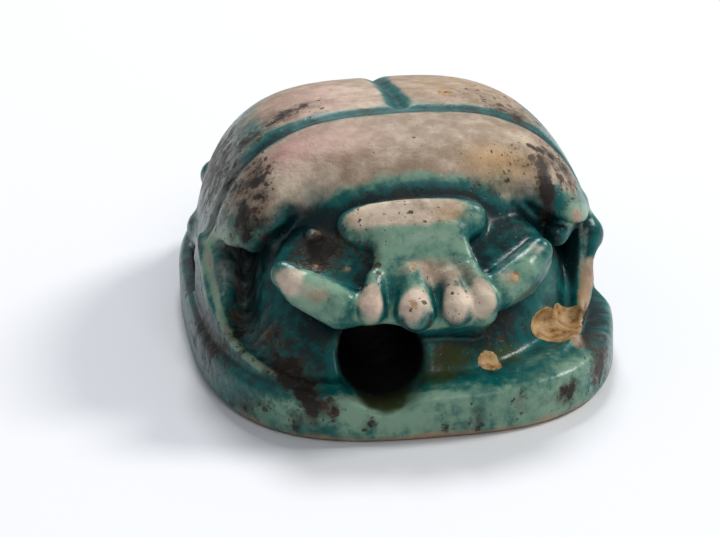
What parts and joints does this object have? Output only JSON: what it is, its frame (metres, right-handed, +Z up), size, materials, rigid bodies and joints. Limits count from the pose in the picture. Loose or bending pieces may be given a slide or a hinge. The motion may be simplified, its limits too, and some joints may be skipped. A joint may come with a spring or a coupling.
{
  "type": "scarab amulet",
  "caption": "Small glazed stone beetle amulet on an oval base, with carved head, legs and wing cases and a string hole from end to end.",
  "frame": {"origin": "middle of the flat underside of the oval base", "axes": "+Z up through the back, +Y towards the tail, -Y towards the head, +X to the beetle's left"},
  "size_m": [0.0126, 0.0174, 0.0073],
  "materials": {
    "glazed_stone": "worn blue-green glaze over pale soft stone, dark in the carved lines"
  },
  "bodies": {
    "root": {"scarab": "glazed_stone"}
  },
  "joints": []
}
